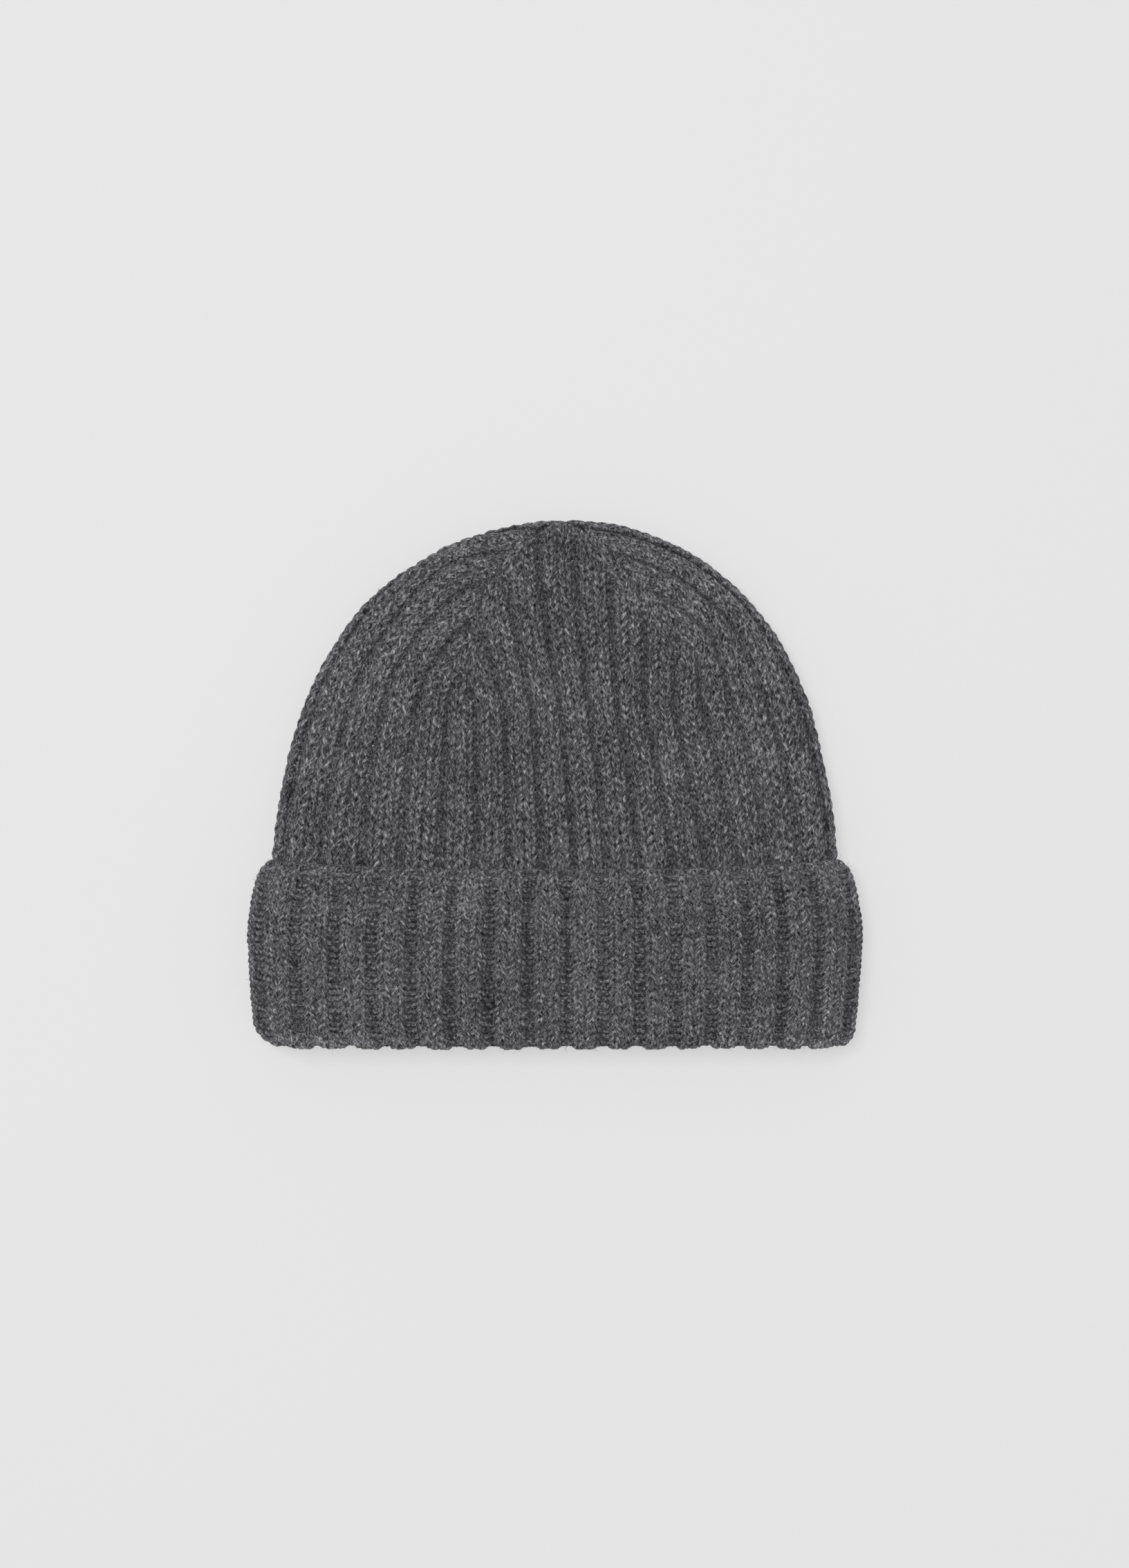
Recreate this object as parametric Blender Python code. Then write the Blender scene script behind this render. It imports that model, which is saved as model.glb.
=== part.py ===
"""A rib-knit beanie lying flat with its cuff turned up.

The crown points to +Y, the mouth to -Y, the front faces +Z and the back lies on the ground at z = 0.
The origin is the middle of that footprint. Lengths are in millimetres and become metres in to_metres.
"""

import math

import bmesh
import bpy

MILLIMETRE = 0.001

# Outline of the hat as it lies.
LENGTH = 198.6
BODY_WIDTH = 209.6
CUFF_WIDTH = 230.8
CUFF_HEIGHT = 69.7
CUFF_TOP_WIDTH = 218.4
CUFF_FOOT_WIDTH = 224.0
CUFF_WIDEST_SHARE = 0.63
DOME_HEIGHT = 116.0

# Layers of cloth, from the ground up.
CUFF_CLOTH = 3.2
BODY_CLOTH = 3.0
LAYER_GAP = 1.2
CUFF_THICKNESS = 25.0
CROWN_THICKNESS = 18.0
CROWN_MIDDLE = 8.5
RETURN_HEIGHT = 7.5
TOUCH_GAP = 0.3

# Shape of a flattened tube: a superellipse over the top, the same underneath but pressed flat.
ROUNDNESS = 3.2
PRESSED = 1.3
RING_POINTS = 48
DOME_STATIONS = 12
BODY_STATIONS = 6
CUFF_STATIONS = 8
FOLD_STATIONS = 6

# Yarns and the label.
SEAM_YARN = 1.2
CUFF_SEAM_YARN = 0.8
CLOSING_YARN = 1.4
CLOSING_RING = (5.0, 3.2)
CLOSING_POINTS = 24
LABEL_SIZE = (18.0, 34.0)
LABEL_PLY = 0.3
LABEL_Y = -58.0
STITCH_COUNT = 14
STITCH_REACH = 1.6
STITCH_THREAD = 0.4

MOUTH_Y = -LENGTH / 2
CROWN_Y = LENGTH / 2
CUFF_TOP_Y = MOUTH_Y + CUFF_HEIGHT
DOME_START_Y = CROWN_Y - DOME_HEIGHT
RETURN_TOP_Y = MOUTH_Y + RETURN_HEIGHT
BODY_END_Y = RETURN_TOP_Y + TOUCH_GAP
CUFF_MIDDLE = CUFF_THICKNESS / 2
BODY_FLOOR_IN_CUFF = CUFF_CLOTH + LAYER_GAP
BODY_TOP_IN_CUFF = CUFF_THICKNESS - BODY_FLOOR_IN_CUFF
SETTLE_LENGTH = 40.0

YARN_CHARCOAL = (0.085, 0.083, 0.088)
SEAM_CHARCOAL = (0.070, 0.069, 0.073)
LABEL_GREY = (0.55, 0.55, 0.54)


def start_scene():
    for old in list(bpy.data.objects):
        bpy.data.objects.remove(old)
    hat = bpy.data.collections.new("knit_beanie")
    bpy.context.scene.collection.children.link(hat)
    return hat


def cloth_material(name, colour, roughness):
    material = bpy.data.materials.new(name)
    material.use_nodes = True
    shader = material.node_tree.nodes["Principled BSDF"]
    shader.inputs["Base Color"].default_value = (*colour, 1.0)
    shader.inputs["Roughness"].default_value = roughness
    shader.inputs["Metallic"].default_value = 0.0
    return material


def to_metres(point):
    return tuple(value * MILLIMETRE for value in point)


def ease(share):
    """A smooth step from 0 to 1."""
    share = min(1.0, max(0.0, share))
    return share * share * (3 - 2 * share)


def signed_power(value, exponent):
    return math.copysign(abs(value) ** exponent, value)


def narrowing(share):
    """How much of the full height is left at this share of the way to a rounded edge."""
    return max(0.0, 1 - share**ROUNDNESS) ** (1 / ROUNDNESS)


def flat_ring(y, half_width, middle, rise, drop, floor):
    """One loop of cloth across the hat: rounded at the sides and top, flat where it meets its floor."""
    ring = []
    for step in range(RING_POINTS):
        turn = 2 * math.pi * step / RING_POINTS
        x = half_width * signed_power(math.cos(turn), 2 / ROUNDNESS)
        lift = signed_power(math.sin(turn), 2 / ROUNDNESS)
        z = middle + rise * lift if lift > 0 else max(floor, middle + PRESSED * drop * lift)
        ring.append(to_metres((x, y, z)))
    return ring


def body_height(y):
    """Middle, top and floor of the body at y: raised on the cuff's back, then settling to the ground."""
    settled = ease((y - CUFF_TOP_Y) / SETTLE_LENGTH)
    middle = CUFF_MIDDLE + (CROWN_MIDDLE - CUFF_MIDDLE) * settled
    top = BODY_TOP_IN_CUFF + (CROWN_THICKNESS - BODY_TOP_IN_CUFF) * settled
    floor = BODY_FLOOR_IN_CUFF * (1 - settled)
    return middle, top, floor


def body_ring(y, depth):
    """A loop of the body's face at depth under its outer face."""
    share = max(0.0, (y - DOME_START_Y) / (DOME_HEIGHT - depth))
    middle, top, floor = body_height(y)
    half_width = (BODY_WIDTH / 2 - depth) * math.sqrt(max(0.0, 1 - share**2))
    rise = (top - middle - depth) * narrowing(share)
    drop = (middle - floor - depth) * narrowing(share)
    return flat_ring(y, half_width, middle, rise, drop, floor + depth)


def body_rings(depth):
    """The loops from the body's lower edge up to the last one under the apex."""
    straight = DOME_START_Y - BODY_END_Y
    rows = [BODY_END_Y + straight * step / BODY_STATIONS for step in range(BODY_STATIONS)]
    for step in range(DOME_STATIONS):
        angle = math.pi / 2 * step / DOME_STATIONS
        rows.append(DOME_START_Y + (DOME_HEIGHT - depth) * math.sin(angle))
    return [body_ring(y, depth) for y in rows]


def cuff_half_width(y):
    """Half the cuff's outer width: rounded in at its top edge, a little narrower at its foot."""
    share = (y - MOUTH_Y) / CUFF_HEIGHT
    if share > CUFF_WIDEST_SHARE:
        away = (share - CUFF_WIDEST_SHARE) / (1 - CUFF_WIDEST_SHARE)
        return (CUFF_WIDTH - (CUFF_WIDTH - CUFF_TOP_WIDTH) * away**4) / 2
    away = (CUFF_WIDEST_SHARE - share) / CUFF_WIDEST_SHARE
    return (CUFF_WIDTH - (CUFF_WIDTH - CUFF_FOOT_WIDTH) * away**2) / 2


def cuff_ring(y, depth):
    half_height = CUFF_MIDDLE - depth
    return flat_ring(y, cuff_half_width(y) - depth, CUFF_MIDDLE, half_height, half_height, depth)


def cuff_section():
    """The cuff's closed section as (y, depth): up the outer face, over the free edge, and round the fold."""
    return_depth = CUFF_CLOTH + LAYER_GAP
    fold_radius = (return_depth + BODY_CLOTH) / 2
    fold_y = MOUTH_Y + fold_radius
    section = []
    for step in range(CUFF_STATIONS + 1):
        section.append((fold_y + (CUFF_TOP_Y - fold_y) * step / CUFF_STATIONS, 0.0))
    for step in range(CUFF_STATIONS + 1):
        section.append((CUFF_TOP_Y - (CUFF_TOP_Y - fold_y) * step / CUFF_STATIONS, CUFF_CLOTH))
    section.append((fold_y, return_depth))
    section.append((RETURN_TOP_Y, return_depth))
    section.append((RETURN_TOP_Y, return_depth + BODY_CLOTH))
    for step in range(FOLD_STATIONS):
        angle = math.pi * step / FOLD_STATIONS
        depth = fold_radius + fold_radius * math.cos(angle)
        section.append((fold_y - fold_radius * math.sin(angle), depth))
    return section


def add_ring(mesh, points):
    return [mesh.verts.new(point) for point in points]


def join_rings(mesh, first, second):
    """A band of four-sided faces between two loops of the same count."""
    for step in range(len(first)):
        ahead = (step + 1) % len(first)
        mesh.faces.new((first[step], first[ahead], second[ahead], second[step]))


def close_ring(mesh, ring, apex):
    """A fan from a loop to one point."""
    tip = mesh.verts.new(apex)
    for step in range(len(ring)):
        mesh.faces.new((ring[step], ring[(step + 1) % len(ring)], tip))


def finish_mesh(name, mesh, material, hat):
    bmesh.ops.recalc_face_normals(mesh, faces=mesh.faces)
    data = bpy.data.meshes.new(name)
    mesh.to_mesh(data)
    mesh.free()
    data.materials.append(material)
    data.shade_smooth()
    data.set_sharp_from_angle(angle=math.radians(50))
    part = bpy.data.objects.new(name, data)
    hat.objects.link(part)
    return part


def knit_body(hat, material):
    """The knitted tube of the body and crown, open at the mouth and closed at the apex."""
    mesh = bmesh.new()
    outer = [add_ring(mesh, ring) for ring in body_rings(0.0)]
    inner = [add_ring(mesh, ring) for ring in body_rings(BODY_CLOTH)]
    for face in (outer, inner):
        for lower, upper in zip(face, face[1:]):
            join_rings(mesh, lower, upper)
    join_rings(mesh, outer[0], inner[0])
    close_ring(mesh, outer[-1], to_metres((0, CROWN_Y, CROWN_MIDDLE)))
    close_ring(mesh, inner[-1], to_metres((0, CROWN_Y - BODY_CLOTH, CROWN_MIDDLE)))
    return finish_mesh("knit_body", mesh, material, hat)


def turn_up_cuff(hat, material):
    """The turned-up band: the outer layer, the fold at the mouth and the start of the layer inside."""
    mesh = bmesh.new()
    rings = [add_ring(mesh, cuff_ring(y, depth)) for y, depth in cuff_section()]
    for step, ring in enumerate(rings):
        join_rings(mesh, ring, rings[(step + 1) % len(rings)])
    return finish_mesh("turn_up_cuff", mesh, material, hat)


def yarn(name, points, thickness, closed, material, hat):
    """A length of yarn along points, as a round tube with closed ends."""
    curve = bpy.data.curves.new(name, "CURVE")
    curve.dimensions = "3D"
    curve.bevel_depth = thickness / 2 * MILLIMETRE
    curve.bevel_resolution = 2
    curve.use_fill_caps = True
    line = curve.splines.new("POLY")
    line.points.add(len(points) - 1)
    for target, point in zip(line.points, points):
        target.co = (*to_metres(point), 1.0)
    line.use_cyclic_u = closed
    curve.materials.append(material)
    part = bpy.data.objects.new(name, curve)
    hat.objects.link(part)
    return part


def back_seam_yarn(hat, material):
    """The linked seam up the centre back, on the inner face of the body."""
    first, last, count = BODY_END_Y + 2, CROWN_Y - 24, 22
    points = []
    for step in range(count):
        y = first + (last - first) * step / (count - 1)
        floor = body_height(y)[2]
        points.append((0, y, floor + BODY_CLOTH + TOUCH_GAP + SEAM_YARN / 2))
    return yarn("back_seam_yarn", points, SEAM_YARN, False, material, hat)


def cuff_seam_yarn(hat, material):
    """The same seam carried on up the cuff, hidden between the cuff and the body."""
    height = CUFF_CLOTH + LAYER_GAP / 2
    points = [(0, MOUTH_Y + 6, height), (0, CUFF_TOP_Y - 2, height)]
    return yarn("cuff_seam_yarn", points, CUFF_SEAM_YARN, False, material, hat)


def crown_closing_yarn(hat, material):
    """The end of yarn drawn through the last stitches, a small loop just under the apex."""
    y = CROWN_Y - 15
    points = []
    for step in range(CLOSING_POINTS):
        turn = 2 * math.pi * step / CLOSING_POINTS
        points.append(
            (CLOSING_RING[0] * math.cos(turn), y, CROWN_MIDDLE + CLOSING_RING[1] * math.sin(turn))
        )
    return yarn("crown_closing_yarn", points, CLOSING_YARN, True, material, hat)


def label_base():
    """Height of the label's underside, on the inner face of the back."""
    return BODY_FLOOR_IN_CUFF + BODY_CLOTH + TOUCH_GAP


def care_label(hat, material):
    """A blank woven label, folded in two, its open edge at the seam."""
    width, length = LABEL_SIZE
    left = SEAM_YARN / 2 + TOUCH_GAP
    outline = bpy.data.curves.new("label_fold", "CURVE")
    outline.dimensions = "2D"
    outline.fill_mode = "BOTH"
    outline.extrude = length / 2 * MILLIMETRE
    base = label_base()
    top = base + 2 * LABEL_PLY + TOUCH_GAP
    profile = [
        (left, base),
        (left + width, base),
        (left + width, top),
        (left, top),
        (left, top - LABEL_PLY),
        (left + width - LABEL_PLY, top - LABEL_PLY),
        (left + width - LABEL_PLY, base + LABEL_PLY),
        (left, base + LABEL_PLY),
    ]
    line = outline.splines.new("POLY")
    line.points.add(len(profile) - 1)
    for target, (x, z) in zip(line.points, profile):
        target.co = (x * MILLIMETRE, z * MILLIMETRE, 0, 1)
    line.use_cyclic_u = True
    outline.materials.append(material)
    part = bpy.data.objects.new("care_label", outline)
    part.rotation_euler = (math.radians(90), 0, 0)
    part.location = to_metres((0, LABEL_Y, 0))
    hat.objects.link(part)
    return part


def label_stitch_thread(hat, material):
    """One sewing thread that zigzags over the label's edge beside the seam."""
    height = label_base() + 2 * LABEL_PLY + 2 * TOUCH_GAP + STITCH_THREAD / 2
    edge = SEAM_YARN / 2 + TOUCH_GAP + STITCH_REACH
    points = []
    for step in range(STITCH_COUNT):
        y = LABEL_Y + LABEL_SIZE[1] * (step / (STITCH_COUNT - 1) - 0.5)
        side = STITCH_REACH / 2 if step % 2 else -STITCH_REACH / 2
        points.append((edge + side, y, height))
    return yarn("label_stitch_thread", points, STITCH_THREAD, False, material, hat)


def build():
    hat = start_scene()
    knit = cloth_material("charcoal_knit", YARN_CHARCOAL, 0.95)
    thread = cloth_material("seam_yarn", SEAM_CHARCOAL, 0.9)
    satin = cloth_material("label_satin", LABEL_GREY, 0.5)
    knit_body(hat, knit)
    turn_up_cuff(hat, knit)
    back_seam_yarn(hat, thread)
    cuff_seam_yarn(hat, thread)
    crown_closing_yarn(hat, thread)
    care_label(hat, satin)
    label_stitch_thread(hat, thread)


build()
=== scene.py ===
"""Looks of the rib-knit beanie: each course is one strand of yarn, looped stitch by stitch.

Lengths in this script are millimetres until mesh_piece turns them into metres. A course is a row of
stitches and a wale is a column of them. The hat lies on its back, with its crown towards +Y and its
front towards +Z.
"""

import math
from functools import partial
from types import SimpleNamespace

import bpy
import numpy as np
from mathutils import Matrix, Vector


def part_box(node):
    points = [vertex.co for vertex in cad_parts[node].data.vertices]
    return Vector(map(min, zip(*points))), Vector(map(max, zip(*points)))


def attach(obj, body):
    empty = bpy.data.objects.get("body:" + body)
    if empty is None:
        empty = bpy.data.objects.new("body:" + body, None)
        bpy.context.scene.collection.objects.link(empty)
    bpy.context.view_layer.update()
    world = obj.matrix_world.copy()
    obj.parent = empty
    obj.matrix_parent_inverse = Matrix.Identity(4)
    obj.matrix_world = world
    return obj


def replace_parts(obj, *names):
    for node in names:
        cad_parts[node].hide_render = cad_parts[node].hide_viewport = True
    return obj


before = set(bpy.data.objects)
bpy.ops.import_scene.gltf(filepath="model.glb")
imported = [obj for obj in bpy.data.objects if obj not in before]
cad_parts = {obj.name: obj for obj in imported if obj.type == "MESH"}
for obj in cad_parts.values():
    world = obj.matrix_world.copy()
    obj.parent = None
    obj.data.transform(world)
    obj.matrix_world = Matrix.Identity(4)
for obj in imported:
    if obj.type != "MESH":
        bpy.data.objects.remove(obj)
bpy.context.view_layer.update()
rng = np.random.default_rng(29)

MILLIMETRE = 0.001


def node_box(node):
    """A CAD node's box in millimetres."""
    low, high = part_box(node)
    return np.array(low) / MILLIMETRE, np.array(high) / MILLIMETRE


_, BODY_HIGH = node_box("knit_body")
CUFF_LOW, CUFF_HIGH = node_box("turn_up_cuff")
MOUTH_Y = CUFF_LOW[1]
CUFF_TOP_Y = CUFF_HIGH[1]
CROWN_Y = BODY_HIGH[1]
CUFF_HALF = CUFF_HIGH[0]
BODY_HALF = BODY_HIGH[0]
CUFF_TOP_Z = CUFF_HIGH[2]
BODY_TOP_Z = BODY_HIGH[2]
CUFF_MIDDLE_Z = CUFF_TOP_Z / 2

# Courses of the cuff, of the body over the cuff's top and of the body that is tucked inside the cuff.
CUFF_COURSES = 29
BODY_COURSES = 41
TUCKED_COURSES = 19
TUCKED_PITCH = 3.2

# Wales in half the middle gore, those left at the apex, and how many side ones the left fold hides.
GORE_HALF = 16
LAST_WALES = 3
LEFT_CREEP = 3.4

# Where the middle gore stops narrowing, as a share of the height from the cuff's top to the apex.
GORE_NARROWED = 0.46

# How far loops and ribs stand out of the cloth, and how much of the ribs' height the body shows.
LOOP_DEPTH = 0.55
RIB_DEPTH = 0.8
BODY_RELIEF = 1.15

# A loop's height in rows, and how uneven its width, its height, its place and its depth are.
LOOP_ROWS = 1.4
LOOP_UNEVENNESS = (0.07, 0.06, 0.04, 0.08)

# Half the thickness of the cuff's and the body's cloth, and how far inside the outline its middle lies.
CLOTH_HALF = 2.05
BODY_CLOTH_HALF = 1.5
OUTLINE_INSET = 1.6

# The yarn's half width and half thickness as shares of a row's height, and the row heights it follows.
YARN_SIDE = 0.29
YARN_FLAT = 0.245
LOWEST_ROW, TALLEST_ROW = 2.4, 4.0

# Heights of the crown's top and middle, the length over which the body sinks to them from the cuff,
# and the reach, the rise and the shape of the flattened tube's rounded edge.
CROWN_TOP_Z = 18.0
CROWN_MIDDLE_Z = 8.5
SETTLE_LENGTH = 40.0
EDGE_REACH = 26.0
EDGE_RISE = CUFF_MIDDLE_Z * 0.8
EDGE_POWER = 2.5


def ease(share):
    """0 up to 0, 1 from 1 on, and a smooth step between."""
    share = np.clip(share, 0.0, 1.0)
    return share * share * (3 - 2 * share)


def mix(first, second, share):
    return first + (second - first) * share


def smooth_noise(x, y, seed, size):
    """Soft unevenness, the same each run: a few crossing waves of about this size."""
    waves = np.random.default_rng(seed)
    total = 0
    for _ in range(7):
        angle, shift = waves.uniform(0, 2 * math.pi, 2)
        pitch = size * waves.uniform(0.7, 1.6)
        along = x * math.cos(angle) + y * math.sin(angle)
        total = total + np.sin(2 * math.pi * along / pitch + shift)
    return total / 4


# ---------------------------------------------------------------- the shape of the lying hat


def edge_table():
    """Arc length against inward distance for the rounded edge of the flattened tube."""
    inward = np.linspace(0, 1, 400) ** 2
    rise = (1 - (1 - inward) ** EDGE_POWER) ** (1 / EDGE_POWER)
    steps = np.hypot(np.diff(inward) * EDGE_REACH, np.diff(rise) * EDGE_RISE)
    return np.concatenate([[0], np.cumsum(steps)]), inward


EDGE_ARC, EDGE_INWARD = edge_table()
EDGE_EXTRA = EDGE_ARC[-1] - EDGE_REACH


def round_edge(arc, reach):
    """Inward distance and share of the full rise, at this arc length from the fold of a rounded edge."""
    scaled = arc * EDGE_REACH / reach
    rounded = np.interp(scaled, EDGE_ARC, EDGE_INWARD)
    inward = np.where(scaled < EDGE_ARC[-1], rounded, 1 + (scaled - EDGE_ARC[-1]) / EDGE_REACH)
    left = np.clip(1 - inward, 0, 1)
    return inward * reach, (1 - left**EDGE_POWER) ** (1 / EDGE_POWER)


def row_height(share):
    """Height of a row of the body, by its share of the way from the cuff's top to the apex."""
    return CUFF_TOP_Y + (CROWN_Y - OUTLINE_INSET - CUFF_TOP_Y) * share


def outline_table():
    """The body's outline over the cuff by share of its arc: height, half width and sideways lean."""
    share = np.sin(np.linspace(0, math.pi / 2, 600))
    y = row_height(share)
    dome = (BODY_HALF - OUTLINE_INSET) * (1 - share**2.25) ** (1 / 2.05)
    half = dome - 1.2 * np.sin(2 * math.pi * (share - 0.14)) * np.sqrt(1 - share)
    lean = 1.3 * ease((share - 0.2) / 0.55) + 3.0 * share**14
    arc = np.concatenate([[0], np.cumsum(np.hypot(np.diff(y), np.diff(half)))])
    return arc / arc[-1], y, half, lean


OUTLINE = outline_table()


def fitted(index, first, last, start, end):
    """Wale positions, nudged near both ends so that wales first to last fill a run from start to end."""
    at_first = (start - first) * ease((first + 3 - index) / 3)
    at_last = (end - last) * ease((index - last + 3) / 3)
    return index + at_first + at_last


class BodyHalf:
    """The front or back half of the body and crown: a middle gore between two side runs."""

    def __init__(self, facing, left_wales, right_wales, axis, gore_width, starts):
        self.facing = facing
        self.side_wales = {-1: left_wales, 1: right_wales}
        self.axis = axis
        self.gore_width = gore_width
        self.starts = {-1: starts[0], 1: starts[1]}

    def shaped(self, side, height):
        """Share of the crown's shaping that is done: 0 where it begins and 1 at the apex."""
        start = self.starts[side]
        return np.clip((height - start) / (1 - start), 0, 1)

    def gore_count(self, side, height):
        return LAST_WALES + (GORE_HALF - LAST_WALES) * (1 - self.shaped(side, height))

    def side_count(self, side, height):
        return LAST_WALES + (self.side_wales[side] - LAST_WALES) * (1 - self.shaped(side, height) ** 1.55)

    def side_start(self, side, height):
        """The wale at the fold: the left fold creeps forward over the side ribs up the crown."""
        begun = ease((height - 0.5) / 0.35)
        left_over = ease((0.98 - height) / 0.28)
        return self.facing * (LEFT_CREEP * begun * left_over if side < 0 else 0.0)

    def row(self, course):
        """A course's share of the height, its height, its middle level and how far it rises from that."""
        height = np.clip(course / BODY_COURSES, 0, 1)
        y = row_height(height) + np.minimum(course, 0) * TUCKED_PITCH
        settled = ease((y - CUFF_TOP_Y) / SETTLE_LENGTH)
        middle = mix(CUFF_MIDDLE_Z, CROWN_MIDDLE_Z, settled)
        if self.facing > 0:
            rise = mix(BODY_TOP_Z, CROWN_TOP_Z, settled) - BODY_CLOTH_HALF - middle
        else:
            rise = middle - mix(CUFF_TOP_Z - BODY_TOP_Z + BODY_CLOTH_HALF, CLOTH_HALF, settled)
        tucked_in = 0.6 * ease(-course / 3)
        return height, y, middle, (rise - tucked_in) * (1 - height**6) ** (1 / 3)

    def slack(self, x, y):
        """Gentle waves in the front where the empty crown has sunk together."""
        if self.facing < 0:
            return 0
        return 0.9 * ease((y - CUFF_TOP_Y) / 30) * smooth_noise(x, y, 3, 75)

    def line(self, side, height):
        """Middle of the gore and half its width, to the line where it meets the side run."""
        narrow = np.minimum(height / GORE_NARROWED, 1)
        spread = 1 + 0.33 * np.clip((height - GORE_NARROWED) / (1 - GORE_NARROWED), 0, 1)
        wale = mix(self.gore_width, self.gore_width - 7.0, narrow) / GORE_HALF * spread
        return self.axis(height), wale * self.gore_count(side, height)

    def fold(self, side, course):
        """Point on the outline, the direction of the course there and the width of the side run."""
        height, y, _, _ = self.row(course)
        edge_y, edge_half, lean = (np.interp(height, OUTLINE[0], column) for column in OUTLINE[1:])
        x = side * edge_half + lean
        edge_y = edge_y + np.minimum(course, 0) * TUCKED_PITCH
        centre, half = self.line(side, height)
        across = np.stack([centre + side * half - x, y - edge_y])
        width = np.maximum(np.hypot(*across), 0.5)
        return x, edge_y, across / width, width

    def rib_share(self, index, last, course):
        """How plainly the ribs show: they flatten at the line that cuts them off, and at the apex."""
        height = np.clip(course / BODY_COURSES, 0, 1)
        started = ease((height - 0.5) / 0.12)
        near_line = ease((index - last + 3) / 3)
        at_apex = 0.25 * ease((height - 0.88) / 0.1)
        return (1 + 0.1 * started - 0.95 * started * near_line) * (1 - at_apex)

    def gore_point(self, side, last, index, course):
        """A point of the middle gore: index counts wales from its middle to its edge at the last one."""
        height, y, middle, rise = self.row(course)
        centre, half = self.line(side, height)
        count = self.gore_count(side, height)
        x = centre + side * half * np.clip(fitted(index, 0, last, 0, count) / count, 0, 1)
        z = middle + self.facing * (rise + self.slack(x, y))
        return np.stack([x, y + 0 * x, z], -1)

    def side_point(self, side, first, last, index, course):
        """A point of the side run: index counts wales from the first, at the fold, to the gore."""
        height, _, middle, rise = self.row(course)
        x, y, inward, width = self.fold(side, course)
        reach = np.minimum(EDGE_REACH, width)
        arc_length = width + EDGE_EXTRA * reach / EDGE_REACH
        start, end = self.side_start(side, height), self.side_count(side, height)
        share = (fitted(index, first, last, start, end) - start) / (end - start)
        away, lift = round_edge(np.clip(share, 0, 1) * arc_length, reach)
        x, y = x + inward[0] * away, y + inward[1] * away
        z = middle + self.facing * (rise + self.slack(x, y)) * lift
        return np.stack([x, y, z], -1)

    def runs(self, course, whole=True):
        """Runs from the left fold to the right: point function, outward sign, first and last wale."""
        height = max(0.0, course / BODY_COURSES)
        made = []
        for side in (-1, 1):
            start = self.side_start(side, height)
            gore, flank = self.gore_count(side, height), self.side_count(side, height)
            if whole:
                start, gore, flank = int(round(start)), int(round(gore)), int(round(flank))
            outer = (partial(self.side_point, side, start, flank), -side * self.facing)
            inner = (partial(self.gore_point, side, gore), side * self.facing)
            if side < 0:
                made += [outer + (start, flank), inner + (gore, 0)]
            else:
                made += [inner + (0, gore), outer + (flank, start)]
        return made


class CuffHalf:
    """The front or back half of the cuff, with the fold at the mouth and the cloth that turns in there."""

    FOLD_RADIUS = 2.15
    WALES = 34
    MIDDLE_SHIFT = 4.5
    FAN = 1.6

    def __init__(self, facing):
        self.facing = facing

    def section(self, course):
        """Height up from the mouth and depth under the outer layer, along the cloth's section."""
        pitch = (CUFF_TOP_Y - MOUTH_Y - CLOTH_HALF) / CUFF_COURSES
        along = course * pitch - self.FOLD_RADIUS
        angle = np.clip(-along / self.FOLD_RADIUS, 0, math.pi)
        past = np.maximum(-along - math.pi * self.FOLD_RADIUS, 0)
        up = self.FOLD_RADIUS * (1 - np.sin(angle)) + np.maximum(along, 0) + past + CLOTH_HALF + 0.1
        rolled = 1.8 * ease((course - CUFF_COURSES + 2.5) / 2.5)
        return up, self.FOLD_RADIUS * (1 - np.cos(angle)) + rolled

    def half_width(self, side, up):
        """Half the outer width at a height over the mouth, with the left bottom corner most rounded."""
        share = up / (CUFF_TOP_Y - MOUTH_Y)
        top = np.clip((share - 0.6) / 0.4, 0, 1)
        foot = np.clip((0.6 - share) / 0.6, 0, 1)
        corner = np.clip(1 - up / 10.0, 0, 1)
        rounding = 11.0 * corner**2.2 if side < 0 else 4.5 * corner**3
        return CUFF_HALF - OUTLINE_INSET - 5.9 * top**1.9 - 3.0 * foot**1.25 - rounding

    def rib_share(self, index, last, course):
        """How plainly the ribs show: they flatten into the cast-on edge at the top."""
        return 1 - 0.85 * float(ease((course - CUFF_COURSES + 3.5) / 3))

    def point(self, side, index, course):
        """A point of the cuff: index counts wales from the fold at the hat's side."""
        up, depth = self.section(course)
        width = self.half_width(side, up) - depth
        share_up = up / (CUFF_TOP_Y - MOUTH_Y)
        run = width - side * self.MIDDLE_SHIFT * self.facing
        away, lift = round_edge(np.minimum(index / self.WALES, 1) * (run + EDGE_EXTRA), EDGE_REACH)
        fan = self.FAN * (1 - share_up) * np.sin(math.pi * np.clip(away / run, 0, 1))
        x = side * (width - away + fan)
        side_share = np.abs(x) / CUFF_HALF
        bow = 4.6 * share_up**2 * side_share**3 - 1.8 * share_up**2 + 1.1 * (1 - share_up) * side_share**4
        y = MOUTH_Y + up + bow
        slack = 0.0 if self.facing < 0 else 0.45 * (1 + smooth_noise(x, y, 4, 70))
        rise = CUFF_MIDDLE_Z - CLOTH_HALF + 0.3 + slack - depth
        return np.stack([x, y, CUFF_MIDDLE_Z + self.facing * rise * lift], -1)

    def runs(self, course, whole=True):
        """The same two runs on every course: left fold to middle and middle to right fold."""
        made = []
        for side, first, last in ((-1, 0, self.WALES), (1, self.WALES, 0)):
            made.append((partial(self.point, side), -side * self.facing, first, last))
        return made


def front_axis(height):
    """The front gore leans: its middle wale runs from right of the hat's middle to the apex."""
    return 13.4 - 8.5 * height - 10.5 * height**2 + 6.6 * height**6


def back_axis(height):
    """The back gore stands nearly straight."""
    return -5.0 * (1 - height) + 2.0 * height**4


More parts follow.
